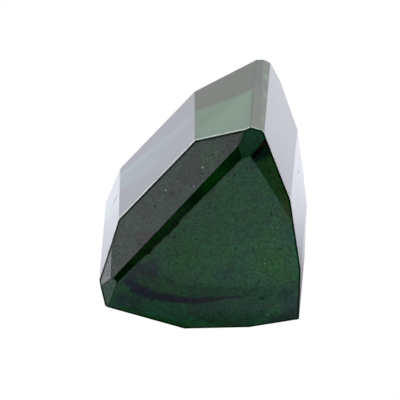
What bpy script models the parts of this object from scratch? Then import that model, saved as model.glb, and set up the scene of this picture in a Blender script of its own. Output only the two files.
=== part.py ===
"""Faceted tourmaline: one short, tapered block of green crystal, cut and polished all round.

The stone lies on one of its long walls. Its cross-section is the bulging three-sided outline of a
tourmaline crystal, so the walls run from the front to the back, and the front is one broad face with
a narrow bevel, a wide shoulder and four small facets around it. The back, which faces away, is closed
by three plain facets.

Every facet is one flat cut through an uncut block. A cut is given the way a stone cutter gives it:
a clock angle around the crystal's long axis, a lean out of the plane across that axis, and a reach
from the hub of the stone to the cut.

Metres, +Z up. The front of the stone looks toward -Y, and the right-hand side of the front is +X.
"""

import math
from typing import NamedTuple

import bmesh
import bpy
from mathutils import Vector

MM = 0.001

OBJECT_NAME = "faceted_tourmaline"
NODE_NAME = "tourmaline"

# The uncut block, a cube around the hub, wider than the finished stone by more than any facet's reach.
BLOCK_SIDE = 48.0 * MM

# Cuts closer together than this are taken as one corner.
CORNER_MERGE = 0.001 * MM
# A facet's corners lie within this distance of its plane.
ON_PLANE = 0.002 * MM


class Facet(NamedTuple):
    """One flat cut: its name, clock angle and lean in degrees, and its reach from the hub in millimetres.

    The clock angle turns about the long axis from +X toward +Z. A lean of 0 is a wall along the long
    axis, +90 is square to it at the front, and -90 is square to it at the back.
    """

    name: str
    clock: float
    lean: float
    reach: float


# Front: the broad face and the small facets that border it.
BROAD_FACE = Facet("broad_face", 311.0, 85.5, 7.5)
NARROW_BEVEL = Facet("narrow_bevel", 138.3, 64.0, 7.835)
WIDE_SHOULDER = Facet("wide_shoulder", 138.5, 42.0, 6.95)
TOP_TIP = Facet("top_tip", 103.0, 67.0, 9.35)
RIGHT_STRIP = Facet("right_strip", 16.0, 72.5, 9.05)
LOW_CORNER = Facet("low_corner", 165.0, 62.0, 9.17)
LEFT_SLIVER = Facet("left_sliver", 146.0, 37.0, 7.35)

# Walls, clockwise from the lower left as seen from the front.
LOWER_LEFT_WALL = Facet("lower_left_wall", 194.0, -0.5, 8.55)
LEFT_WALL = Facet("left_wall", 160.5, 1.0, 6.15)
UPPER_LEFT_WALL = Facet("upper_left_wall", 138.0, 0.5, 4.95)
TOP_WALL = Facet("top_wall", 113.5, 0.5, 6.55)
CREST_LEFT = Facet("crest_left", 78.0, 2.5, 9.66)
CREST_RIGHT = Facet("crest_right", 48.0, 3.0, 9.87)
UPPER_RIGHT_WALL = Facet("upper_right_wall", 20.5, 3.5, 7.95)
RIGHT_WALL = Facet("right_wall", 8.5, 4.0, 7.8)
LOWER_RIGHT_WALL = Facet("lower_right_wall", -1.0, 4.5, 8.45)
RIGHT_UNDERSIDE = Facet("right_underside", -81.0, 2.5, 8.9)
RESTING_WALL = Facet("resting_wall", -90.0, 0.0, 8.1)
LEFT_UNDERSIDE = Facet("left_underside", -109.0, 0.0, 8.05)

# Back: the end face and the facets that close it.
BACK_FACE = Facet("back_face", -39.0, -79.0, 10.0)
BACK_UPPER_FACET = Facet("back_upper_facet", 136.0, -54.0, 7.9)
BACK_LOWER_FACET = Facet("back_lower_facet", -56.0, -66.0, 10.35)

CUTS = (
    BROAD_FACE,
    NARROW_BEVEL,
    WIDE_SHOULDER,
    TOP_TIP,
    RIGHT_STRIP,
    LOW_CORNER,
    LEFT_SLIVER,
    LOWER_LEFT_WALL,
    LEFT_WALL,
    UPPER_LEFT_WALL,
    TOP_WALL,
    CREST_LEFT,
    CREST_RIGHT,
    UPPER_RIGHT_WALL,
    RIGHT_WALL,
    LOWER_RIGHT_WALL,
    RIGHT_UNDERSIDE,
    RESTING_WALL,
    LEFT_UNDERSIDE,
    BACK_FACE,
    BACK_UPPER_FACET,
    BACK_LOWER_FACET,
)

# Deep green, polished, clear.
BODY_COLOUR = (0.014, 0.075, 0.030, 1.0)
BODY_ROUGHNESS = 0.05
BODY_METALLIC = 0.0
BODY_TRANSMISSION = 1.0
TOURMALINE_IOR = 1.64


def clear_scene() -> None:
    """Remove every object in the scene."""
    for old in list(bpy.data.objects):
        bpy.data.objects.remove(old, do_unlink=True)


def outward(facet: Facet) -> Vector:
    """Return the facet's unit normal, which points out of the stone."""
    clock = math.radians(facet.clock)
    lean = math.radians(facet.lean)
    across = math.cos(lean)
    return Vector((across * math.cos(clock), -math.sin(lean), across * math.sin(clock)))


def cut(block: bmesh.types.BMesh, facet: Facet) -> None:
    """Slice the block along the facet's plane, drop what lies outside it and close the cut."""
    normal = outward(facet)
    plane_point = normal * facet.reach * MM
    everything = block.verts[:] + block.edges[:] + block.faces[:]
    sliced = bmesh.ops.bisect_plane(
        block,
        geom=everything,
        dist=CORNER_MERGE,
        plane_co=plane_point,
        plane_no=normal,
        clear_outer=True,
    )
    rim = [item for item in sliced["geom_cut"] if isinstance(item, bmesh.types.BMEdge)]
    bmesh.ops.edgeloop_fill(block, edges=rim)


def stone_mesh() -> bpy.types.Mesh:
    """Cut every facet into the block and stand the stone on its resting wall, over the origin."""
    block = bmesh.new()
    bmesh.ops.create_cube(block, size=BLOCK_SIDE)
    for facet in CUTS:
        cut(block, facet)
    bmesh.ops.remove_doubles(block, verts=block.verts[:], dist=CORNER_MERGE)
    bmesh.ops.recalc_face_normals(block, faces=block.faces[:])

    corners = [vert.co for vert in block.verts]
    lows = [min(corner[axis] for corner in corners) for axis in range(3)]
    highs = [max(corner[axis] for corner in corners) for axis in range(3)]
    foot = Vector(((lows[0] + highs[0]) / 2.0, (lows[1] + highs[1]) / 2.0, lows[2]))
    bmesh.ops.translate(block, verts=block.verts[:], vec=-foot)

    mesh = bpy.data.meshes.new(NODE_NAME)
    block.to_mesh(mesh)
    block.free()
    return mesh


def stone_material() -> bpy.types.Material:
    """Make the stone's clear, deep green finish."""
    material = bpy.data.materials.new("tourmaline_green")
    material.use_nodes = True
    shader = material.node_tree.nodes["Principled BSDF"]
    shader.inputs["Base Color"].default_value = BODY_COLOUR
    shader.inputs["Roughness"].default_value = BODY_ROUGHNESS
    shader.inputs["Metallic"].default_value = BODY_METALLIC
    shader.inputs["Transmission Weight"].default_value = BODY_TRANSMISSION
    shader.inputs["IOR"].default_value = TOURMALINE_IOR
    return material


def main() -> None:
    """Build the stone in a collection named for it."""
    clear_scene()
    collection = bpy.data.collections.new(OBJECT_NAME)
    bpy.context.scene.collection.children.link(collection)
    stone = bpy.data.objects.new(NODE_NAME, stone_mesh())
    collection.objects.link(stone)
    stone.data.materials.append(stone_material())


if __name__ == "__main__":
    main()
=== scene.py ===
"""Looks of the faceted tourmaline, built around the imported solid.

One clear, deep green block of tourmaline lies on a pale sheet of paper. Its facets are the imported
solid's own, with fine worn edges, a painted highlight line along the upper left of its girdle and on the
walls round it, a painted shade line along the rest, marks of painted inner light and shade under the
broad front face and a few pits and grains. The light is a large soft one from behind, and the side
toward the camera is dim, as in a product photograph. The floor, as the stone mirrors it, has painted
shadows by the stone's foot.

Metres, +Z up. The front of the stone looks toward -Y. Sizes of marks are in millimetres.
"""

import logging
import math
from dataclasses import dataclass, field
from enum import Enum

import bmesh
import bpy
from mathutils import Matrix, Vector


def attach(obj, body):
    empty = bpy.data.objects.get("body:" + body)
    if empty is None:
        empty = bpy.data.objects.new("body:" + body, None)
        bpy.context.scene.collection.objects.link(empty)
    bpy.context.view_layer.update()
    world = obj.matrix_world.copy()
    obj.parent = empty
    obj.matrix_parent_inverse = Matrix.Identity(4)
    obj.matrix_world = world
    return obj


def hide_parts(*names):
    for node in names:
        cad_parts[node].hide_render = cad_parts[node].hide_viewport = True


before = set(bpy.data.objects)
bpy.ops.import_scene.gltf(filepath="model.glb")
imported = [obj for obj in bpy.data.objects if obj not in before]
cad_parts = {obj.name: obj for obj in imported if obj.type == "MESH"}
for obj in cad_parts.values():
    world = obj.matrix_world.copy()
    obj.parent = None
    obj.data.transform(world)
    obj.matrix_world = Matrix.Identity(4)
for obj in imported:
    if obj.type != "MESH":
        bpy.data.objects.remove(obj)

MM = 0.001
STONE_NODE = "tourmaline"
BODY = "root"

LOG = logging.getLogger("faceted_tourmaline")

Colour = tuple[float, float, float, float]
Point = tuple[float, float, float]
Plane = tuple[Vector, float]
WHITE: Colour = (1.0, 1.0, 1.0, 1.0)
BLACK: Colour = (0.0, 0.0, 0.0, 1.0)

# Names of the shares kept on the faces of the edges' strips: painted highlight and painted shade.
EDGE_HIGHLIGHT_SHARE = "painted_edge_highlight"
SHADE_SHARE = "shaded_edge"

# How often light may bounce inside the stone.
LIGHT_BOUNCES = 24


class FacetKind(Enum):
    """What a facet is."""

    BROAD = "broad_face"
    BEVEL = "narrow_bevel"
    SHOULDER = "wide_shoulder"
    TIP = "top_tip"
    STRIP = "right_strip"
    CORNER = "low_corner"
    SLIVER = "left_sliver"
    WALL = "wall"
    BACK = "back"


# Clock angle round the long axis and lean toward the front of the facets round the front, in degrees.
FRONT_WAYS: dict[FacetKind, tuple[float, float]] = {
    FacetKind.BROAD: (311.0, 85.5),
    FacetKind.BEVEL: (138.3, 64.0),
    FacetKind.SHOULDER: (138.5, 42.0),
    FacetKind.TIP: (103.0, 67.0),
    FacetKind.STRIP: (16.0, 72.5),
    FacetKind.CORNER: (165.0, 62.0),
    FacetKind.SLIVER: (146.0, 37.0),
}
# Facets that look further back than this are the back's.
BACK_SINE = 0.15
SAME_WAY = 0.9999
# Walls that look further to the right than this are in shade.
LIT_LIMIT = 0.8


def facet_kind(normal: Vector) -> FacetKind:
    """Tell what a facet is from the way it faces.

    Args:
        normal: The facet's outward direction.

    Returns:
        Its kind.
    """
    for kind, (clock_deg, lean_deg) in FRONT_WAYS.items():
        clock, lean = math.radians(clock_deg), math.radians(lean_deg)
        across = math.cos(lean)
        way = Vector((across * math.cos(clock), -math.sin(lean), across * math.sin(clock)))
        if normal.dot(way) > SAME_WAY:
            return kind
    return FacetKind.WALL if normal.y < BACK_SINE else FacetKind.BACK


def looks_lit(normal: Vector) -> bool:
    """Tell whether a wall faces the light: the upper and left-hand ones do."""
    return normal.z > 0.0 and normal.x < LIT_LIMIT


class NodeBench:
    """A node tree with short ways to add and join its nodes."""

    def __init__(self, tree: bpy.types.NodeTree) -> None:
        """Start from an empty tree.

        Args:
            tree: The material's or world's node tree.
        """
        self.tree = tree
        tree.nodes.clear()

    def add(self, kind: str, **settings: object) -> bpy.types.Node:
        """Add one node.

        Args:
            kind: The node's type name in Blender.
            **settings: Attributes to set on the new node.

        Returns:
            The new node.
        """
        node = self.tree.nodes.new(kind)
        for name, value in settings.items():
            setattr(node, name, value)
        return node

    def join(self, source: bpy.types.NodeSocket, target: bpy.types.NodeSocket) -> None:
        """Link an output socket to an input socket."""
        self.tree.links.new(source, target)

    def feed(self, value: object, target: bpy.types.NodeSocket) -> None:
        """Link a socket, or set a plain value, on an input.

        Args:
            value: An output socket, or a number, vector or colour.
            target: The input socket it goes to.
        """
        if isinstance(value, bpy.types.NodeSocket):
            self.join(value, target)
        else:
            target.default_value = value

    def math(
        self, operation: str, first: object, second: object = 0.0, clamp: bool = False
    ) -> bpy.types.NodeSocket:
        """Add a math node.

        Args:
            operation: The node's operation.
            first: Its first input, a socket or a number.
            second: Its second input, a socket or a number.
            clamp: Whether the result is kept from 0 to 1.

        Returns:
            The result's socket.
        """
        node = self.add("ShaderNodeMath", operation=operation, use_clamp=clamp)
        self.feed(first, node.inputs[0])
        self.feed(second, node.inputs[1])
        return node.outputs[0]

    def vector(self, operation: str, first: object, second: object) -> bpy.types.NodeSocket:
        """Add a vector math node.

        Args:
            operation: The node's operation. SCALE takes a number as its second input.
            first: Its first input, a socket or three numbers.
            second: Its second input, a socket, a number or three numbers.

        Returns:
            The result's socket, a number for DOT_PRODUCT and LENGTH.
        """
        node = self.add("ShaderNodeVectorMath", operation=operation)
        self.feed(first, node.inputs[0])
        if operation == "SCALE":
            self.feed(second, node.inputs["Scale"])
        elif operation != "LENGTH":
            self.feed(second, node.inputs[1])
        return node.outputs["Value" if operation in ("DOT_PRODUCT", "LENGTH") else "Vector"]

    def ramp(
        self, value: object, low: float, high: float, out_low: object = 0.0, out_high: object = 1.0
    ) -> bpy.types.NodeSocket:
        """Map a value smoothly from one range to another.

        Args:
            value: The socket or number that is mapped.
            low: Where the change starts.
            high: Where it ends.
            out_low: The result at the start.
            out_high: The result at the end.

        Returns:
            The result's socket.
        """
        node = self.add("ShaderNodeMapRange", interpolation_type="SMOOTHSTEP")
        self.feed(value, node.inputs["Value"])
        node.inputs["From Min"].default_value = low
        node.inputs["From Max"].default_value = high
        self.feed(out_low, node.inputs["To Min"])
        self.feed(out_high, node.inputs["To Max"])
        return node.outputs["Result"]

    def blend(
        self, share: object, first: object, second: object, way: str = "MIX"
    ) -> bpy.types.NodeSocket:
        """Mix two colours.

        Args:
            share: How much of the second colour shows.
            first: The first colour, a socket or four numbers.
            second: The second colour, a socket or four numbers.
            way: The node's blend type.

        Returns:
            The mixed colour's socket.
        """
        node = self.add("ShaderNodeMix", data_type="RGBA", blend_type=way)
        self.feed(share, node.inputs[0])
        self.feed(first, node.inputs[6])
        self.feed(second, node.inputs[7])
        return node.outputs[2]

    def level(self, share: object, first: object, second: object) -> bpy.types.NodeSocket:
        """Mix two numbers.

        Args:
            share: How much of the second number counts.
            first: The first number or socket.
            second: The second number or socket.

        Returns:
            The mixed number's socket.
        """
        node = self.add("ShaderNodeMix", data_type="FLOAT")
        self.feed(share, node.inputs[0])
        self.feed(first, node.inputs[2])
        self.feed(second, node.inputs[3])
        return node.outputs[0]

    def noise(self, place: object, grain: float, detail: float, rough: float) -> bpy.types.NodeSocket:
        """Add a noise texture.

        Args:
            place: Coordinates in millimetres.
            grain: Size of its largest features, in millimetres.
            detail: Number of finer layers.
            rough: Strength of the finer layers.

        Returns:
            The noise value's socket, about 0.5 on average.
        """
        node = self.add("ShaderNodeTexNoise")
        self.feed(place, node.inputs["Vector"])
        node.inputs["Scale"].default_value = 1.0 / grain
        node.inputs["Detail"].default_value = detail
        node.inputs["Roughness"].default_value = rough
        return node.outputs["Fac"]

    def specks(self, place: object, spacing: float, size: float, share: float) -> bpy.types.NodeSocket:
        """Scatter small round spots.

        Args:
            place: Coordinates in millimetres.
            spacing: Usual distance between places where a spot may be, in millimetres.
            size: Radius of a spot, in millimetres.
            share: Share of the places that have one.

        Returns:
            The socket of a mask, 1 inside the spots.
        """
        node = self.add("ShaderNodeTexVoronoi")
        self.feed(place, node.inputs["Vector"])
        node.inputs["Scale"].default_value = 1.0 / spacing
        chance = self.add("ShaderNodeSeparateColor")
        self.join(node.outputs["Color"], chance.inputs[0])
        near = self.ramp(node.outputs["Distance"], size / spacing, 0.5 * size / spacing)
        kept = self.math("LESS_THAN", chance.outputs[0], share)
        return self.math("MULTIPLY", near, kept)

    def drifted(self, place: object, size: float, reach: float) -> bpy.types.NodeSocket:
        """Shift coordinates unevenly, so that what is drawn with them gets a natural outline.

        Args:
            place: Coordinates in millimetres.
            size: Size of the drift's features, in millimetres.
            reach: How far points may move, in millimetres.

        Returns:
            The shifted coordinates' socket.
        """
        node = self.add("ShaderNodeTexNoise")
        self.feed(place, node.inputs["Vector"])
        node.inputs["Scale"].default_value = 1.0 / size
        node.inputs["Detail"].default_value = 4.0
        node.inputs["Roughness"].default_value = 0.6
        centred = self.vector("SUBTRACT", node.outputs["Color"], (0.5, 0.5, 0.5))
        return self.vector("ADD", place, self.vector("SCALE", centred, 2.0 * reach))

    def nearest_plane(self, place: object, planes: list[Plane]) -> bpy.types.NodeSocket:
        """Measure how near a point inside the stone is to the nearest of some facets.

        Args:
            place: Coordinates in millimetres.
            planes: The facets' directions and their distances from the origin in metres.

        Returns:
            The socket of the distance in millimetres, 0 on a facet and negative inside.
        """
        result = None
        for normal, distance in planes:
            along = self.vector("DOT_PRODUCT", place, tuple(normal))
            gap = self.math("SUBTRACT", along, distance / MM)
            result = gap if result is None else self.math("MAXIMUM", result, gap)
        return result


@dataclass(frozen=True)
class Cloud:
    """A soft patch of another tint.

    Its middle and half sizes along X, Y and Z are in millimetres.
    """

    middle: Point
    half_sizes: Point
    softness: float
    tint: Colour
    haze_and_painted_light: float = 0.0
    dark: float = 0.0

    def mask(self, bench: NodeBench, place: object) -> bpy.types.NodeSocket:
        """Build the mask.

        Args:
            bench: The material's bench.
            place: Coordinates in millimetres.

        Returns:
            The mask's socket, 1 in the middle.
        """
        away = bench.vector("SUBTRACT", place, self.middle)
        scaled = bench.vector("DIVIDE", away, self.half_sizes)
        return bench.ramp(bench.vector("LENGTH", scaled, None), 1.0, 1.0 - self.softness)


@dataclass(frozen=True)
class Stroke:
    """A soft line of another tint through points, with its half width at each stretch.

    Points and half widths are in millimetres.
    """

    points: tuple[Point, ...]
    half_widths: tuple[float, ...]
    softness: float
    tint: Colour
    haze_and_painted_light: float = 0.0
    dark: float = 0.0

    def mask(self, bench: NodeBench, place: object) -> bpy.types.NodeSocket:
        """Build the mask.

        Args:
            bench: The material's bench.
            place: Coordinates in millimetres.

        Returns:
            The mask's socket, 1 along the line.
        """
        nearest = None
        for start, end, half in zip(self.points, self.points[1:], self.half_widths):
            run = Vector(end) - Vector(start)
            away = bench.vector("SUBTRACT", place, start)
            along = bench.vector("DOT_PRODUCT", away, tuple(run))
            share = bench.math("DIVIDE", along, run.length_squared, clamp=True)
            foot_shadow = bench.vector("SCALE", tuple(run), share)
            gap = bench.vector("LENGTH", bench.vector("SUBTRACT", away, foot_shadow), None)
            scaled = bench.math("DIVIDE", gap, half)
            nearest = scaled if nearest is None else bench.math("MINIMUM", nearest, scaled)
        return bench.ramp(nearest, 1.0, 1.0 - self.softness)


@dataclass(frozen=True)
class Patch:
    """A patch of another tint with straight sides.

    Each side is the direction it faces and how far the patch reaches that way, in millimetres.
    """

    sides: tuple[tuple[Point, float], ...]
    softness: float
    tint: Colour
    haze_and_painted_light: float = 0.0
    dark: float = 0.0

    def mask(self, bench: NodeBench, place: object) -> bpy.types.NodeSocket:
        """Build the mask.

        Args:
            bench: The material's bench.
            place: Coordinates in millimetres.

        Returns:
            The mask's socket, 1 inside the sides.
        """
        outside = None
        for way, reach in self.sides:
            gap = bench.math("SUBTRACT", bench.vector("DOT_PRODUCT", place, way), reach)
            outside = gap if outside is None else bench.math("MAXIMUM", outside, gap)
        return bench.ramp(outside, self.softness, -self.softness)


Mark = Cloud | Stroke | Patch


class Layout(Enum):
    """How the coordinates that marks are drawn with are laid out."""

    PLAIN = "as measured"
    FLAT = "without depth"
    DRIFTED = "unevenly shifted"
    FLAT_DRIFTED = "without depth, unevenly shifted"
    RAGGED = "without depth, finely ragged"


@dataclass(frozen=True)
class Grain:
    """An uneven pattern that a finish varies by.

    Its largest features are in millimetres. Its value is about 0.5 on average, and the two limits are
    the values where the share starts to rise and where it is full.
    """

    size: float
    layers: float
    layer_strength: float
    start: float
    full: float

    def share(
        self, bench: NodeBench, place: object, low: float = 0.0, high: float = 1.0
    ) -> bpy.types.NodeSocket:
        """Build the share.

        Args:
            bench: The material's bench.
            place: Coordinates in millimetres.
            low: The result below the start.
            high: The result when full.

        Returns:
            The share's socket.
        """
        value = bench.noise(place, self.size, self.layers, self.layer_strength)
        return bench.ramp(value, self.start, self.full, low, high)


@dataclass(frozen=True)
class MarkGroup:
    """Marks that are drawn the same way, on one kind of facet or on all."""

    marks: tuple[Mark, ...]
    layout: Layout = Layout.PLAIN
    kind: FacetKind | None = None


@dataclass(frozen=True)
class FacetTone:
    """What a facet's surface lets through: a clear tint with clouds of a second one, and a haze of painted
    inner light.
    """

    kind: FacetKind
    clear: Colour
    cloudy: Colour
    haze_and_painted_light: float = 0.0


@dataclass(frozen=True)
class Tinted:
    """The sockets of a tint, of a haze that light can't pass and that paints in inner light, and of the
    share that doesn't shine.
    """

    colour: object
    haze_and_painted_light: object
    dark: object


@dataclass(frozen=True)
class PolishedTourmaline:
    """The stone's finish: clear, polished, and so deep a green that a few millimetres take most light.

    The volume holds the colour. The surface carries what dims or greys it: a fine grain, cloudy tones, a
    haze that paints in inner light, marks of painted inner light and shade under the front facets, a
    painted shade line inside the girdle, pits, pale grains, dull scuffs and a painted white highlight
    along the girdle.
    Sizes are in millimetres.
    """

    ior: float = 1.64
    absorb_colour: Colour = (0.047, 0.528, 0.350, 1.0)
    absorb_density: float = 371.5
    tones: tuple[FacetTone, ...] = ()
    clouds: Grain = Grain(1.3, 4.0, 0.62, 0.40, 0.60)
    grain: Grain = Grain(0.2, 3.0, 0.7, 0.60, 0.38)
    grain_tint: Colour = (0.3, 0.22, 0.3, 1.0)
    mottle: Grain = Grain(0.6, 3.0, 0.6, 0.60, 0.36)
    mottle_tint: Colour = (0.7, 0.60, 0.8, 1.0)
    pit_spacing: float = 0.9
    pit_size: float = 0.13
    pit_share: float = 0.6
    pit_tint: Colour = (0.08, 0.10, 0.09, 1.0)
    pit_dark: float = 0.8
    scuff_dark: float = 0.8
    # Painted shade: a dark line inside the girdle, wider beside the shaded walls.
    shade_line_tint: Colour = (0.03, 0.05, 0.04, 1.0)
    shade_line_width: float = 0.17
    shaded_wall_line_width: float = 0.20
    # Painted highlight: a white line on the walls along the girdle, wider toward the right, and on the lit
    # edges' strips.
    highlight_colour: Colour = (0.97, 0.97, 0.98, 1.0)
    highlight_width: float = 0.22
    highlight_grain: Grain = Grain(0.5, 3.0, 0.6, 0.3, 0.6)
    highlight_least: float = 0.55
    highlight_most: float = 0.95
    right_widening: float = 2.0
    widening_start: float = 3.8
    widening_full: float = 5.4
    drift_size: float = 1.1
    drift: float = 0.55
    ragged_size: float = 0.5
    ragged_drift: float = 0.32
    broad_roughness: float = 0.06
    polish_roughness: float = 0.02
    dull_roughness: float = 0.45
    polish_wear: Grain = Grain(1.4, 4.0, 0.6, 0.35, 0.7)
    least_wear: float = 0.4
    wave_size: float = 1.2
    grit_size: float = 0.08
    grit_height: float = 6.0
    relief: float = 0.0012
    marks: tuple[MarkGroup, ...] = ()
    scuffs: tuple[Mark, ...] = ()
    pale_grains: tuple[Cloud, ...] = ()

    def material(self, facets: dict[FacetKind, list[Plane]]) -> bpy.types.Material:
        """Build the material.

        Args:
            facets: The planes of the stone's facets by kind.

        Returns:
            The tourmaline material.
        """
        material = bpy.data.materials.new("polished_tourmaline")
        material.use_nodes = True
        bench = NodeBench(material.node_tree)
        output = bench.add("ShaderNodeOutputMaterial")
        shader = bench.add("ShaderNodeBsdfPrincipled")
        shader.inputs["IOR"].default_value = self.ior
        place = bench.vector("SCALE", bench.add("ShaderNodeTexCoord").outputs["Object"], 1.0 / MM)
        shares = {kind: self.share(bench, kind.value) for kind in FacetKind}
        # A painted highlight, white along the girdle and on the lit edges' strips, with the pale grains.
        highlight_and_grains = self.highlight_and_grains(bench, place, shares, facets)
        seen = self.tint(bench, place, shares, facets)
        colour_with_highlight = bench.blend(highlight_and_grains, seen.colour, self.highlight_colour)
        scuff = 0.0
        for mark in self.scuffs:
            mask = mark.mask(bench, place)
            scuff = bench.math("MAXIMUM", scuff, mask)
            colour_with_highlight = bench.blend(mask, colour_with_highlight, mark.tint)
        bench.join(colour_with_highlight, shader.inputs["Base Color"])
        dull = bench.math("MAXIMUM", highlight_and_grains, scuff)
        free = bench.math("SUBTRACT", 1.0, dull)
        clear = bench.math("MULTIPLY", free, bench.math("SUBTRACT", 1.0, seen.haze_and_painted_light))
        bench.join(clear, shader.inputs["Transmission Weight"])
        # What doesn't shine: the painted shade line and shaded edges, dark marks, pits and scuffs.
        dark = bench.math("MAXIMUM", seen.dark, bench.math("MULTIPLY", scuff, self.scuff_dark))
        bench.join(bench.blend(dark, WHITE, BLACK), shader.inputs["Specular Tint"])
        bench.join(self.roughness(bench, place, shares, dull), shader.inputs["Roughness"])
        bench.join(self.bump(bench, place, highlight_and_grains), shader.inputs["Normal"])
        absorption = bench.add("ShaderNodeVolumeAbsorption")
        absorption.inputs["Color"].default_value = self.absorb_colour
        absorption.inputs["Density"].default_value = self.absorb_density
        bench.join(shader.outputs[0], output.inputs["Surface"])
        bench.join(absorption.outputs[0], output.inputs["Volume"])
        return material

    def share(self, bench: NodeBench, name: str) -> bpy.types.NodeSocket:
        """Read one of the shares kept on the stone's faces.

        Args:
            bench: The material's bench.
            name: The share's name.

        Returns:
            The value's socket, 1 on faces of that kind.
        """
        return bench.add("ShaderNodeAttribute", attribute_name=name).outputs["Fac"]

    def front(
        self, bench: NodeBench, shares: dict[FacetKind, bpy.types.NodeSocket]
    ) -> bpy.types.NodeSocket:
        """Add up the shares of the broad face and the facets round it.

        Args:
            bench: The material's bench.
            shares: The share sockets of the facet kinds.

        Returns:
            The socket, 1 on all front facets.
        """
        total = 0.0
        for kind in FRONT_WAYS:
            total = bench.math("ADD", total, shares[kind])
        return total

    def tint(
        self,
        bench: NodeBench,
        place: object,
        shares: dict[FacetKind, bpy.types.NodeSocket],
        facets: dict[FacetKind, list[Plane]],
    ) -> Tinted:
        """Build the tint seen through the surface, with its painted inner light and shade, the haze of
        painted light on it and what doesn't shine.

        Args:
            bench: The material's bench.
            place: Coordinates in millimetres.
            shares: The share sockets of the facet kinds.
            facets: The planes of the stone's facets by kind.

        Returns:
            The tint, the haze with its painted light and the dark share.
        """
        front = self.front(bench, shares)
        layouts = self.layouts(bench, place)
        # A painted shade line inside the girdle, wider beside the shaded walls, with the shaded edges'
        # strips.
        line = 0.0
        for lit, width in ((True, self.shade_line_width), (False, self.shaded_wall_line_width)):
            walls = [plane for plane in facets[FacetKind.WALL] if looks_lit(plane[0]) is lit]
            near = bench.ramp(bench.nearest_plane(place, walls), -width, -0.5 * width)
            line = bench.math("MAXIMUM", line, near)
        line = bench.math("MAXIMUM", bench.math("MULTIPLY", line, front), self.share(bench, SHADE_SHARE))
        specks = bench.specks(place, self.pit_spacing, self.pit_size, self.pit_share)
        pits = bench.math("MULTIPLY", specks, front)
        dark = bench.math("MAXIMUM", line, bench.math("MULTIPLY", pits, self.pit_dark))
        cloud = self.clouds.share(bench, place)
        colour, haze_and_painted_light = WHITE, 0.0
        # Each kind of facet gets its own tint and haze: painted inner light and shade.
        for tone in self.tones:
            toned = bench.blend(cloud, tone.clear, tone.cloudy)
            colour = bench.blend(shares[tone.kind], colour, toned)
            haze_and_painted_light = bench.level(shares[tone.kind], haze_and_painted_light, tone.haze_and_painted_light)
        for group in self.marks:
            share = 1.0 if group.kind is None else shares[group.kind]
            for mark in group.marks:
                mask = bench.math("MULTIPLY", mark.mask(bench, layouts[group.layout]), share)
                colour = bench.blend(mask, colour, mark.tint)
                haze_and_painted_light = bench.level(mask, haze_and_painted_light, mark.haze_and_painted_light)
                if mark.dark > 0.0:
                    dark = bench.math("MAXIMUM", dark, bench.math("MULTIPLY", mask, mark.dark))
        for pattern, tint in ((self.grain, self.grain_tint), (self.mottle, self.mottle_tint)):
            share = bench.math("MULTIPLY", pattern.share(bench, place), front)
            colour = bench.blend(share, colour, tint, "MULTIPLY")
        colour = bench.blend(pits, colour, self.pit_tint, "MULTIPLY")
        return Tinted(bench.blend(line, colour, self.shade_line_tint, "MULTIPLY"), haze_and_painted_light, dark)

    def layouts(self, bench: NodeBench, place: object) -> dict[Layout, bpy.types.NodeSocket]:
        """Lay out the coordinates that marks are drawn with.

        Args:
            bench: The material's bench.
            place: Coordinates in millimetres.

        Returns:
            The coordinates' socket for each layout.
        """
        flat = (1.0, 0.0, 1.0)
        drifted = bench.drifted(place, self.drift_size, self.drift)
        ragged = bench.drifted(place, self.ragged_size, self.ragged_drift)
        return {
            Layout.PLAIN: place,
            Layout.FLAT: bench.vector("MULTIPLY", place, flat),
            Layout.DRIFTED: drifted,
            Layout.FLAT_DRIFTED: bench.vector("MULTIPLY", drifted, flat),
            Layout.RAGGED: bench.vector("MULTIPLY", ragged, flat),
        }

    def highlight_and_grains(
        self,
        bench: NodeBench,
        place: object,
        shares: dict[FacetKind, bpy.types.NodeSocket],
        facets: dict[FacetKind, list[Plane]],
    ) -> bpy.types.NodeSocket:
        """Build the share painted white: a painted highlight along the girdle and its lit edges, and pale
        grains.

        Args:
            bench: The material's bench.
            place: Coordinates in millimetres.
            shares: The share sockets of the facet kinds.
            facets: The planes of the stone's facets by kind.

        Returns:
            The share's socket.
        """
        front_planes = [plane for kind in FRONT_WAYS for plane in facets[kind]]
        gap = bench.nearest_plane(place, front_planes)
        # The painted highlight line is wider on the right-hand walls.
        axes = bench.add("ShaderNodeSeparateXYZ")
        bench.join(place, axes.inputs[0])
        narrower = 1.0 / self.right_widening
        widening = bench.ramp(axes.outputs["X"], self.widening_start, self.widening_full, 1.0, narrower)
        near = bench.math("MULTIPLY", gap, widening)
        rim = bench.ramp(near, -self.highlight_width, -0.5 * self.highlight_width)
        rim = bench.math("MULTIPLY", rim, shares[FacetKind.WALL])
        edge = self.share(bench, EDGE_HIGHLIGHT_SHARE)
        uneven = self.highlight_grain.share(bench, place, self.highlight_least, self.highlight_most)
        wear_and_highlight = bench.math("MULTIPLY", bench.math("MAXIMUM", rim, edge), uneven)
        for grain in self.pale_grains:
            wear_and_highlight = bench.math("MAXIMUM", wear_and_highlight, grain.mask(bench, place))
        return wear_and_highlight

    def roughness(
        self,
        bench: NodeBench,
        place: object,
        shares: dict[FacetKind, bpy.types.NodeSocket],
        dull: object,
    ) -> bpy.types.NodeSocket:
        """Build the roughness: a good polish, a little duller on the broad face, dull on the highlight,
        grains and scuffs.

        Args:
            bench: The material's bench.
            place: Coordinates in millimetres.
            shares: The share sockets of the facet kinds.
            dull: The share of surface with the painted highlight, the pale grains or the scuffs.

        Returns:
            The roughness socket.
        """
        wear_and_highlight = self.polish_wear.share(bench, place, self.least_wear)
        broad = shares[FacetKind.BROAD]
        polish = bench.ramp(broad, 0.0, 1.0, self.polish_roughness, self.broad_roughness)
        return bench.ramp(dull, 0.0, 0.6, bench.math("MULTIPLY", wear_and_highlight, polish), self.dull_roughness)

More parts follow.
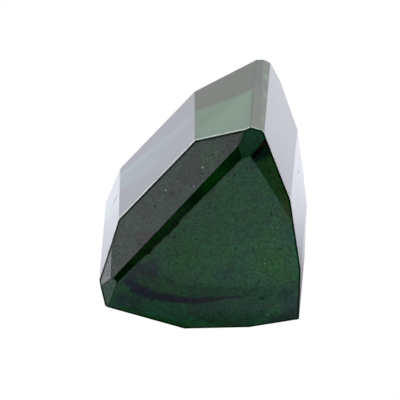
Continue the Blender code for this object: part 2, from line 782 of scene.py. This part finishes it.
    def bump(self, bench: NodeBench, place: object, highlight_and_grains: object) -> bpy.types.NodeSocket:
        """Build the fine relief.

        Args:
            bench: The material's bench.
            place: Coordinates in millimetres.
            highlight_and_grains: The share of surface with the painted highlight and the pale grains.

        Returns:
            The normal's socket.
        """
        wave = bench.noise(place, self.wave_size, 2.0, 0.4)
        grit = bench.math("MULTIPLY", bench.noise(place, self.grit_size, 2.0, 0.6), highlight_and_grains)
        height = bench.math("ADD", wave, bench.math("MULTIPLY", grit, self.grit_height))
        node = bench.add("ShaderNodeBump")
        node.inputs["Strength"].default_value = 1.0
        node.inputs["Distance"].default_value = self.relief * MM
        bench.join(height, node.inputs["Height"])
        return node.outputs["Normal"]


@dataclass(frozen=True)
class PaleSweep:
    """The floor's finish: pale paper, plain white to the camera.

    In what the stone mirrors and lets through, a painted glow: bright behind the stone and dim on the
    camera's side to its end, with painted shadows near the stone and along its foot.
    """

    seen: float = 1.0
    heading_deg: float = -34.0
    front_glow: float = 0.427
    back_glow: float = 1.498
    fade_start: float = -0.736
    fade_end: float = 1.0
    # Painted shade: the floor's glow dims close to the stone.
    near_shadow_dim: float = 0.9
    near_shadow_reach: float = 10.0 * MM
    end_start: float = 30.7 * MM
    end_full: float = 51.6 * MM
    end_share: float = 0.124
    middle: Point = (-0.000566, -0.000232, 0.0)
    # Painted shadows on the floor: a patch in front of the stone and a strip along its foot.
    shadow: Cloud = Cloud((-0.0062, -0.0114, 0.0), (0.0092, 0.0072, 1.0), 0.86, WHITE)
    shadow_dim: float = 0.5
    foot_shadow: Stroke = Stroke(((-0.009, -0.0088, 0.0), (0.010, -0.0082, 0.0)), (0.0028,), 0.8, WHITE)
    foot_shadow_dim: float = 0.6
    tint: Colour = (0.94, 0.95, 1.04, 1.0)

    def material(self) -> bpy.types.Material:
        """Build the material.

        Returns:
            The floor's material.
        """
        material = bpy.data.materials.new("pale_sweep")
        material.use_nodes = True
        bench = NodeBench(material.node_tree)
        output = bench.add("ShaderNodeOutputMaterial")
        place = bench.add("ShaderNodeTexCoord").outputs["Object"]
        away = bench.vector("SUBTRACT", place, self.middle)
        reach = bench.vector("LENGTH", away, None)
        turn = math.radians(self.heading_deg)
        ahead = bench.vector("DOT_PRODUCT", away, (math.sin(turn), math.cos(turn), 0.0))
        facing = bench.math("DIVIDE", ahead, reach)
        glow = bench.ramp(facing, self.fade_start, self.fade_end, self.front_glow, self.back_glow)
        # Painted shade: the glow dims close to the stone and far toward the camera.
        fall = bench.math("EXPONENT", bench.math("DIVIDE", reach, -self.near_shadow_reach))
        shade = bench.math("SUBTRACT", 1.0, bench.math("MULTIPLY", fall, self.near_shadow_dim))
        forward = bench.vector("DOT_PRODUCT", away, (0.0, -1.0, 0.0))
        end = bench.ramp(forward, self.end_start, self.end_full, 1.0, self.end_share)
        shade = bench.math("MULTIPLY", shade, end)
        # Painted shadows: a patch in front of the stone and a strip along its foot.
        for dark, dim in ((self.shadow, self.shadow_dim), (self.foot_shadow, self.foot_shadow_dim)):
            dimmed = bench.math("MULTIPLY", dark.mask(bench, place), dim)
            shade = bench.math("MULTIPLY", shade, bench.math("SUBTRACT", 1.0, dimmed))
        mirrored = bench.add("ShaderNodeEmission")
        mirrored.inputs["Color"].default_value = self.tint
        bench.join(bench.math("MULTIPLY", glow, shade), mirrored.inputs["Strength"])
        seen = bench.add("ShaderNodeEmission")
        seen.inputs["Strength"].default_value = self.seen
        mix = bench.add("ShaderNodeMixShader")
        bench.join(bench.add("ShaderNodeLightPath").outputs["Is Camera Ray"], mix.inputs[0])
        bench.join(mirrored.outputs[0], mix.inputs[1])
        bench.join(seen.outputs[0], mix.inputs[2])
        bench.join(mix.outputs[0], output.inputs["Surface"])
        return material


@dataclass
class CutStone:
    """The block of tourmaline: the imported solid's facets with fine worn edges."""

    corner_merge: float = 0.001 * MM
    flat_angle_deg: float = 0.2
    edge_width: float = 0.04 * MM
    edge_segments: int = 2
    same_way: float = 0.99999
    # Painted highlight on the lit girdle edges' strips, and painted shade on the other front edges'
    # strips.
    girdle_highlight: float = 0.12
    front_shade: float = 0.65
    facets: dict[FacetKind, list[Plane]] = field(default_factory=dict)

    def build(self) -> bpy.types.Object:
        """Make the stone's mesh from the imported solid.

        Returns:
            The stone, dressed and riding on the body.
        """
        work = bmesh.new()
        work.from_mesh(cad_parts[STONE_NODE].data)
        bmesh.ops.remove_doubles(work, verts=work.verts[:], dist=self.corner_merge)
        bmesh.ops.dissolve_limit(
            work, angle_limit=math.radians(self.flat_angle_deg), verts=work.verts[:], edges=work.edges[:]
        )
        self.read_facets(work)
        bmesh.ops.bevel(
            work,
            geom=work.edges[:],
            offset=self.edge_width,
            segments=self.edge_segments,
            profile=0.5,
            affect="EDGES",
            clamp_overlap=True,
        )
        bmesh.ops.recalc_face_normals(work, faces=work.faces[:])
        self.mark_faces(work)
        for face in work.faces:
            face.smooth = False
        mesh = bpy.data.meshes.new("cut_stone")
        work.to_mesh(mesh)
        work.free()
        old_normals = mesh.attributes.get("custom_normal")
        if old_normals is not None:
            mesh.attributes.remove(old_normals)
        stone = bpy.data.objects.new("cut_stone", mesh)
        bpy.context.scene.collection.objects.link(stone)
        mesh.materials.append(tourmaline_finish().material(self.facets))
        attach(stone, BODY)
        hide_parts(STONE_NODE)
        return stone

    def read_facets(self, work: bmesh.types.BMesh) -> None:
        """Keep each facet's plane under its kind.

        Args:
            work: The mesh before its edges are worn.
        """
        self.facets = {kind: [] for kind in FacetKind}
        for face in work.faces:
            face.normal_update()
            normal = face.normal.copy()
            self.facets[facet_kind(normal)].append((normal, normal.dot(face.verts[0].co)))

    def mark_faces(self, work: bmesh.types.BMesh) -> None:
        """Give each face a share for its facet's kind, or, on an edge's strip, its painted highlight and
        shade.

        Args:
            work: The mesh with its worn edges.
        """
        layers = {kind: work.faces.layers.float.new(kind.value) for kind in FacetKind}
        wear_and_highlight = work.faces.layers.float.new(EDGE_HIGHLIGHT_SHARE)
        shaded = work.faces.layers.float.new(SHADE_SHARE)
        for face in work.faces:
            face.normal_update()
            for kind, planes in self.facets.items():
                if any(face.normal.dot(normal) > self.same_way for normal, _ in planes):
                    face[layers[kind]] = 1.0
                    break
            else:
                face[wear_and_highlight], face[shaded] = self.edge_highlight_and_shade(face.calc_center_median())

    def edge_highlight_and_shade(self, place: Vector) -> tuple[float, float]:
        """Tell how much painted highlight and painted shade the edge at a place on the surface gets.

        Args:
            place: A point on an edge's strip.

        Returns:
            The painted highlight, only along the lit upper left of the girdle, and the painted shade, full
            along the rest of it and the bevel and less between other front facets.
        """
        near = [
            (kind, normal)
            for kind, planes in self.facets.items()
            for normal, distance in planes
            if abs(normal.dot(place) - distance) < self.edge_width
        ]
        walls = [normal for kind, normal in near if kind is FacetKind.WALL]
        if all(kind not in FRONT_WAYS for kind, _ in near):
            return 0.0, 0.0
        if not walls:
            return 0.0, 1.0 if FacetKind.BEVEL in dict(near) else self.front_shade
        lit = all(looks_lit(normal) for normal in walls)
        return (self.girdle_highlight, 0.0) if lit else (0.0, 1.0)


def shade(red: float, green: float, blue: float) -> Colour:
    """Return an opaque colour."""
    return (red, green, blue, 1.0)


def facet_tones() -> tuple[FacetTone, ...]:
    """Tell how clear and how cloudy each kind of facet is; each kind's own tint and haze are painted inner
    light and shade.

    Returns:
        The tones, one for each kind of facet.
    """
    return (
        FacetTone(FacetKind.BROAD, shade(1.0, 0.98, 0.36), shade(0.92, 0.82, 0.85), 0.012),
        # The bevel's deep tint is a painted dark inner reflection.
        FacetTone(FacetKind.BEVEL, shade(0.25, 0.07, 0.02), shade(0.15, 0.025, 0.01)),
        FacetTone(FacetKind.SHOULDER, shade(1.0, 0.45, 0.85), shade(1.0, 0.16, 0.75), 0.018),
        FacetTone(FacetKind.TIP, shade(0.9, 0.60, 0.75), shade(0.8, 0.35, 0.40)),
        FacetTone(FacetKind.STRIP, shade(0.75, 0.46, 0.10), shade(0.65, 0.34, 0.06), 0.040),
        FacetTone(FacetKind.CORNER, shade(0.9, 1.0, 1.0), shade(0.8, 0.90, 1.0), 0.040),
        FacetTone(FacetKind.SLIVER, shade(1.0, 0.94, 1.0), shade(0.95, 0.88, 1.0), 0.14),
        FacetTone(FacetKind.WALL, shade(1.0, 0.94, 0.96), shade(0.92, 0.90, 0.88)),
        FacetTone(FacetKind.BACK, shade(1.0, 1.0, 1.0), shade(0.94, 0.97, 0.94)),
    )


def broad_face_marks() -> tuple[Mark, ...]:
    """Place the wide marks of painted inner light and shade under the broad face, by X and Z.

    Returns:
        The marks.
    """
    low_light = ((-1.5, 0.0, 3.3), (6.0, 0.0, 3.0))
    return (
        Cloud((-5.0, 0.0, 5.6), (3.4, 1.0, 3.6), 1.0, shade(1.0, 0.75, 1.0)),
        Cloud((2.7, 0.0, 13.8), (2.2, 1.0, 2.4), 0.9, shade(1.0, 0.75, 1.0)),
        Cloud((3.4, 0.0, 14.0), (0.8, 1.0, 0.9), 0.8, shade(1.0, 0.45, 1.0)),
        Cloud((1.6, 0.0, 11.2), (2.2, 1.0, 1.8), 1.0, shade(1.0, 0.85, 0.60)),
        Cloud((-1.3, 0.0, 6.7), (2.7, 1.0, 2.7), 1.0, shade(1.0, 1.0, 0.18)),
        Stroke(low_light, (1.1,), 1.0, shade(0.8, 1.0, 0.90), 0.012, 0.25),
        Stroke(((-5.0, 0.0, 1.8), (4.2, 0.0, 1.7)), (1.5,), 0.8, shade(0.15, 0.95, 1.0), 0.027),
        Cloud((-2.1, 0.0, 5.0), (1.7, 1.0, 1.3), 1.0, shade(1.0, 0.85, 0.15)),
        Cloud((5.3, 0.0, 5.4), (2.2, 1.0, 1.9), 0.9, shade(1.0, 1.0, 0.12)),
        Cloud((6.1, 0.0, 8.2), (1.0, 1.0, 1.3), 1.0, shade(1.0, 0.55, 0.90)),
        Cloud((1.5, 0.0, 4.9), (1.4, 1.0, 0.8), 1.0, shade(1.0, 0.40, 0.90)),
        Cloud((-4.6, 0.0, 5.3), (1.5, 1.0, 1.3), 0.8, shade(1.0, 0.30, 0.75)),
        Cloud((-6.2, 0.0, 2.3), (2.0, 1.0, 1.2), 0.8, shade(1.0, 0.35, 1.0)),
        Patch((((-0.63, 0.0, 0.77), -2.35),), 0.6, shade(1.0, 0.14, 0.40)),
        Cloud((6.4, 0.0, 2.6), (1.1, 1.0, 1.6), 0.9, shade(1.0, 0.28, 1.0)),
    )


def ragged_marks() -> tuple[Mark, ...]:
    """Place the finely ragged marks of painted inner shade under the broad face: the arc, its spots and
    the feathery strokes by the bevel.

    Returns:
        The marks.
    """
    arc = ((-6.0, 0.0, 4.3), (-5.2, 0.0, 3.45), (-4.1, 0.0, 3.0), (-2.5, 0.0, 2.67), (-0.9, 0.0, 2.5))
    tail = ((-0.9, 0.0, 2.5), (0.4, 0.0, 2.57), (2.6, 0.0, 2.8))
    stripe = ((-6.6, 0.0, 1.9), (-4.1, 0.0, 0.9), (-1.8, 0.0, 0.2))
    feathers = ((-2.3, 0.0, 9.4), (-4.6, 0.0, 6.9), (-6.35, 0.0, 5.4))
    purple, teal = shade(1.0, 0.06, 1.0), shade(0.5, 1.0, 1.0)
    return (
        Cloud((-6.6, 0.0, 2.9), (1.0, 1.0, 0.9), 1.0, shade(1.0, 0.20, 0.95)),
        Stroke(arc, (0.68, 0.68, 0.55, 0.48), 0.65, shade(1.0, 0.03, 1.0), 0.0, 0.18),
        Stroke(tail, (0.42, 0.26), 0.75, shade(1.0, 0.06, 0.80), 0.0, 0.2),
        Cloud((-5.85, 0.0, 4.8), (0.55, 1.0, 0.6), 0.8, purple),
        Cloud((-4.1, 0.0, 5.3), (0.55, 1.0, 0.9), 0.8, purple),
        Cloud((-5.1, 0.0, 5.3), (0.45, 1.0, 0.75), 0.8, purple),
        Cloud((-6.6, 0.0, 3.7), (0.45, 1.0, 0.45), 0.8, teal),
        Cloud((-4.4, 0.0, 2.05), (1.0, 1.0, 0.45), 0.9, teal),
        Cloud((-5.65, 0.0, 1.9), (0.6, 1.0, 0.35), 0.8, shade(0.4, 0.15, 0.5), 0.0, 0.4),
        Stroke(stripe, (0.38, 0.42), 0.7, shade(0.6, 0.62, 0.06), 0.0, 0.25),
        Stroke(feathers, (0.34, 0.30), 0.7, shade(0.25, 0.42, 0.08), 0.0, 0.85),
    )


def bevel_edge_marks() -> tuple[Mark, ...]:
    """Place the green light on the broad face beside the bevel.

    Returns:
        The marks.
    """
    high, middle, low = (2.95, 0.0, 14.95), (-1.85, 0.0, 9.7), (-5.25, 0.0, 6.0)
    return (
        Stroke((high, middle), (0.34,), 0.6, shade(0.15, 0.95, 0.22), 0.19),
        Stroke((middle, low), (0.34,), 0.6, shade(0.15, 0.95, 0.15), 0.14),
    )


def bevel_marks() -> tuple[Mark, ...]:
    """Place the brighter green in the bevel, fresh in its upper half and olive in its lower half.

    Returns:
        The marks.
    """
    return (
        Stroke(((-1.9, -8.7, 10.3), (-5.6, -8.4, 6.4)), (1.2,), 1.0, shade(0.35, 0.22, 0.10), 0.04),
        Cloud((0.5, -8.7, 13.0), (2.3, 2.3, 2.3), 1.0, shade(0.5, 0.34, 0.02)),
    )


def shoulder_marks() -> tuple[Mark, ...]:
    """Place the clouds under the wide shoulder.

    Returns:
        The marks.
    """
    return (
        Stroke(((1.3, -9.0, 13.6), (-6.9, -8.3, 5.6)), (1.5,), 0.9, shade(1.0, 0.50, 1.0), 0.03),
        Cloud((-5.6, -7.7, 7.6), (2.6, 2.6, 2.6), 1.0, shade(0.6, 0.80, 0.85), 0.03),
        Cloud((0.4, -7.9, 14.2), (1.7, 1.5, 1.5), 0.9, shade(1.0, 1.0, 1.0), 0.02),
        Cloud((-6.9, -7.9, 5.9), (1.3, 1.4, 1.6), 0.9, shade(0.8, 1.0, 1.0)),
    )


def wall_marks() -> tuple[Mark, ...]:
    """Place the marks on the walls: a grey band, the painted pale green inner reflection in the top wall
    and soft patches.

    Returns:
        The marks.
    """
    return (
        Stroke(((-6.9, 2.0, 8.5), (-1.0, -2.4, 15.1)), (2.4,), 1.0, shade(0.6, 0.40, 0.52)),
        *window_reflection_marks(),
        Cloud((-7.7, 1.5, 7.6), (1.4, 5.0, 2.8), 1.0, shade(0.5, 0.16, 0.28)),
        Cloud((-8.3, -3.4, 4.2), (0.6, 2.6, 1.3), 1.0, shade(0.5, 0.95, 0.80), 0.07),
    )


def window_reflection_marks() -> tuple[Mark, ...]:
    """Place the painted inner reflection, a pale green window seen in the top wall, and what of it shows
    in the crest.

    Returns:
        The marks.
    """
    left, right, low = (-1.0, 0.0, 0.0), (1.0, 0.0, 0.0), (0.0, 0.0, -1.0)
    mint, pale_mint = shade(0.28, 0.90, 0.52), shade(0.34, 0.95, 0.60)
    borders = ((left, 0.87), (right, 3.42), (low, -14.6))
    reflected_window = (((0.107, 0.994, 0.0), -0.244), *borders)
    bright_half = (((-0.66, 0.75, 0.0), -2.6), *borders)
    return (
        Patch(reflected_window, 0.03, mint, 0.085),
        Patch(bright_half, 1.0, pale_mint, 0.18),
        Patch((((0.0, 1.0, 0.0), -1.15), (left, -3.42), (low, -14.6)), 0.05, mint, 0.03),
        Patch((((0.0, 1.0, 0.0), -1.0), (left, -4.46), (low, -14.6)), 0.05, mint, 0.04),
        Cloud((4.82, 3.2, 16.86), (0.36, 0.8, 0.5), 0.5, mint, 0.2),
        Cloud((4.66, -0.7, 16.73), (0.34, 0.7, 0.5), 0.5, mint, 0.2),
    )


def other_marks() -> tuple[Mark, ...]:
    """Place the warm low end of the strip, the painted dark inner reflection beside the tip and the black
    specks.

    Returns:
        The marks.
    """
    # A painted dark inner reflection beside the tip.
    painted_dark_reflection = shade(0.0, 0.03, 0.08)
    black = shade(0.03, 0.04, 0.04)
    return (
        Cloud((6.1, -8.5, 10.6), (0.9, 0.9, 3.0), 1.0, shade(1.0, 0.46, 0.02), 0.05),
        Stroke(((3.7, -8.75, 14.75), (4.8, -8.35, 15.25)), (0.62,), 0.5, painted_dark_reflection, 0.0, 0.5),
        Cloud((-2.73, -7.55, 11.19), (0.16, 0.16, 0.16), 0.8, black, 0.0, 0.6),
        Cloud((4.36, -8.17, 2.56), (0.19, 0.19, 0.15), 0.7, black, 0.0, 1.0),
        Cloud((4.12, -8.2, 2.75), (0.11, 0.11, 0.11), 0.8, black, 0.0, 0.8),
        Cloud((0.84, -8.28, 1.40), (0.12, 0.12, 0.12), 0.8, black, 0.0, 0.7),
        Cloud((1.30, -8.43, 4.32), (0.12, 0.12, 0.12), 0.8, black, 0.0, 0.7),
        Cloud((4.5, -8.6, 9.88), (0.11, 0.11, 0.11), 0.8, shade(0.10, 0.14, 0.10), 0.0, 0.4),
        Cloud((4.19, -5.96, 16.76), (0.12, 0.3, 0.12), 0.8, shade(0.10, 0.12, 0.10), 0.7),
    )


def scuffs() -> tuple[Mark, ...]:
    """Place the dull marks on the walls.

    Returns:
        The marks.
    """
    lilac = shade(0.15, 0.13, 0.17)
    return (
        Stroke(((-7.22, 0.3, 7.85), (-7.58, 0.95, 6.85)), (0.16,), 0.7, lilac),
        Cloud((7.5, 2.7, 8.9), (0.14, 0.42, 0.16), 0.8, lilac),
        Cloud((5.66, 0.4, 14.48), (0.08, 0.3, 0.12), 0.8, lilac),
        Cloud((7.04, 9.9, 12.43), (0.10, 0.3, 0.12), 0.8, lilac),
    )


def tourmaline_finish() -> PolishedTourmaline:
    """Give the stone's finish with the marks that this stone has.

    Returns:
        The finish.
    """
    bright_size, faint_size = (0.085, 0.085, 0.085), (0.06, 0.06, 0.06)
    bright_spots = ((-3.17, -7.11, 11.29), (-0.34, -7.86, 13.47))
    faint_spots = ((-0.99, -8.34, 12.07), (5.47, -8.48, 8.72), (4.48, -8.35, 5.64), (4.74, -8.07, 1.13))
    grains = [Cloud(spot, bright_size, 0.7, WHITE) for spot in bright_spots]
    grains += [Cloud(spot, faint_size, 0.7, WHITE) for spot in faint_spots]
    return PolishedTourmaline(
        tones=facet_tones(),
        marks=(
            MarkGroup(broad_face_marks(), Layout.FLAT_DRIFTED, FacetKind.BROAD),
            MarkGroup(bevel_edge_marks(), Layout.FLAT, FacetKind.BROAD),
            MarkGroup(ragged_marks(), Layout.RAGGED, FacetKind.BROAD),
            MarkGroup(bevel_marks(), Layout.DRIFTED, FacetKind.BEVEL),
            MarkGroup(shoulder_marks(), Layout.DRIFTED, FacetKind.SHOULDER),
            MarkGroup(wall_marks(), Layout.PLAIN, FacetKind.WALL),
            MarkGroup(other_marks()),
        ),
        scuffs=scuffs(),
        pale_grains=tuple(grains),
    )


@dataclass
class PaperFloor:
    """The pale sheet the stone lies on."""

    side: float = 3.0
    drop: float = 0.01 * MM

    def build(self) -> bpy.types.Object:
        """Make the floor, a hair below the stone.

        Returns:
            The floor.
        """
        bpy.ops.mesh.primitive_plane_add(size=self.side, location=(0.0, 0.0, -self.drop))
        floor = bpy.context.object
        floor.name = "paper_floor"
        floor.data.materials.append(PaleSweep().material())
        return floor


@dataclass(frozen=True)
class SoftPanel:
    """A round soft lamp or black card, seen from the stone in one direction.

    The heading turns clockwise from +Y, the rise is up from level, and the edge and core are cosines.
    """

    heading_deg: float
    rise_deg: float
    edge: float
    core: float
    level: float
    tint: Point = (1.0, 1.0, 1.0)

    def share(self, bench: NodeBench, way: object) -> bpy.types.NodeSocket:
        """Build the panel's share of the sky.

        Args:
            bench: The world's bench.
            way: The socket of the direction that is looked in.

        Returns:
            The share's socket, the level inside the panel.
        """
        turn, rise = math.radians(self.heading_deg), math.radians(self.rise_deg)
        level = math.cos(rise)
        middle = (math.sin(turn) * level, math.cos(turn) * level, math.sin(rise))
        near = bench.vector("DOT_PRODUCT", way, middle)
        return bench.ramp(near, self.edge, self.core, 0.0, self.level)


@dataclass(frozen=True)
class SoftSky:
    """The soft light all round: bright behind, dim in front, with two lamps and a black card."""

    seen: float = 1.0
    heading_deg: float = -34.0
    front: float = 0.296
    back: float = 1.527
    fade_start: float = -0.2
    fade_end: float = 1.0
    zenith_dim: float = 0.463
    lamps: tuple[SoftPanel, ...] = (
        SoftPanel(-73.2, -10.0, edge=0.669, core=1.0, level=1.544, tint=(1.03, 0.96, 1.12)),
        SoftPanel(58.8, 36.3, edge=0.70, core=0.737, level=0.48, tint=(0.92, 0.99, 0.96)),
    )
    cards: tuple[SoftPanel, ...] = (
        SoftPanel(heading_deg=201.8, rise_deg=-18.1, edge=0.70, core=0.75, level=1.0),
        SoftPanel(heading_deg=-24.0, rise_deg=12.0, edge=0.90, core=0.985, level=0.16),
    )
    tint: Point = (0.95, 0.99, 0.945)

    def build(self) -> bpy.types.World:
        """Make the world.

        Returns:
            The scene's world.
        """
        world = bpy.data.worlds.new("soft_sky")
        bpy.context.scene.world = world
        world.use_nodes = True
        bench = NodeBench(world.node_tree)
        output = bench.add("ShaderNodeOutputWorld")
        way = bench.add("ShaderNodeTexCoord").outputs["Generated"]
        turn = math.radians(self.heading_deg)
        facing = bench.vector("DOT_PRODUCT", way, (math.sin(turn), math.cos(turn), 0.0))
        glow = bench.ramp(facing, self.fade_start, self.fade_end, self.front, self.back)
        axes = bench.add("ShaderNodeSeparateXYZ")
        bench.join(way, axes.inputs[0])
        height = bench.math("MAXIMUM", axes.outputs["Z"], 0.0)
        dimmed = bench.math("SUBTRACT", 1.0, bench.math("MULTIPLY", height, self.zenith_dim))
        light = bench.vector("SCALE", self.tint, bench.math("MULTIPLY", glow, dimmed))
        for lamp in self.lamps:
            light = bench.vector("ADD", light, bench.vector("SCALE", lamp.tint, lamp.share(bench, way)))
        for card in self.cards:
            open_share = bench.math("SUBTRACT", 1.0, card.share(bench, way))
            light = bench.vector("SCALE", light, open_share)
        mirrored = bench.add("ShaderNodeBackground")
        bench.join(light, mirrored.inputs["Color"])
        seen = bench.add("ShaderNodeBackground")
        seen.inputs["Color"].default_value = WHITE
        seen.inputs["Strength"].default_value = self.seen
        mix = bench.add("ShaderNodeMixShader")
        bench.join(bench.add("ShaderNodeLightPath").outputs["Is Camera Ray"], mix.inputs[0])
        bench.join(mirrored.outputs[0], mix.inputs[1])
        bench.join(seen.outputs[0], mix.inputs[2])
        bench.join(mix.outputs[0], output.inputs["Surface"])
        return world


@dataclass(frozen=True)
class PhotoCamera:
    """The photograph's camera."""

    elevation_deg: float = 22.5
    lens_mm: float = 200.0
    sensor_mm: float = 36.0
    frame_width: float = 32.0 * MM
    nearest: float = 0.01
    farthest: float = 20.0
    target: Point = (-0.000536, -0.001735, 0.008235)

    def build(self) -> bpy.types.Object:
        """Make the camera and give it to the scene.

        Returns:
            The camera.
        """
        data = bpy.data.cameras.new("photo_camera")
        data.lens = self.lens_mm
        data.sensor_width = self.sensor_mm
        data.clip_start = self.nearest
        data.clip_end = self.farthest
        camera = bpy.data.objects.new("photo_camera", data)
        bpy.context.scene.collection.objects.link(camera)
        rise = math.radians(self.elevation_deg)
        back = Vector((0.0, -math.cos(rise), math.sin(rise)))
        distance = self.frame_width * self.lens_mm / self.sensor_mm
        camera.location = Vector(self.target) + back * distance
        camera.rotation_mode = "QUATERNION"
        camera.rotation_quaternion = (-back).to_track_quat("-Z", "Y")
        bpy.context.scene.camera = camera
        return camera


def set_picture() -> None:
    """Set the picture's plain colour handling, its smoothing and the depth of its light paths."""
    scene = bpy.context.scene
    scene.view_settings.view_transform = "Standard"
    scene.view_settings.look = "None"
    scene.cycles.max_bounces = LIGHT_BOUNCES
    scene.cycles.transmission_bounces = LIGHT_BOUNCES
    scene.cycles.glossy_bounces = LIGHT_BOUNCES
    scene.cycles.use_denoising = True


def main() -> None:
    """Build the stone, its floor, light and camera, and report each."""
    logging.basicConfig(level=logging.INFO, format="%(name)s: %(message)s")
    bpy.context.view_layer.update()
    set_picture()
    PhotoCamera().build()
    LOG.info("camera ready")
    stone = CutStone().build()
    LOG.info("%s: %d faces", stone.name, len(stone.data.polygons))
    floor = PaperFloor().build()
    LOG.info("%s ready", floor.name)
    SoftSky().build()
    LOG.info("soft light ready")


if __name__ == "__main__":
    main()
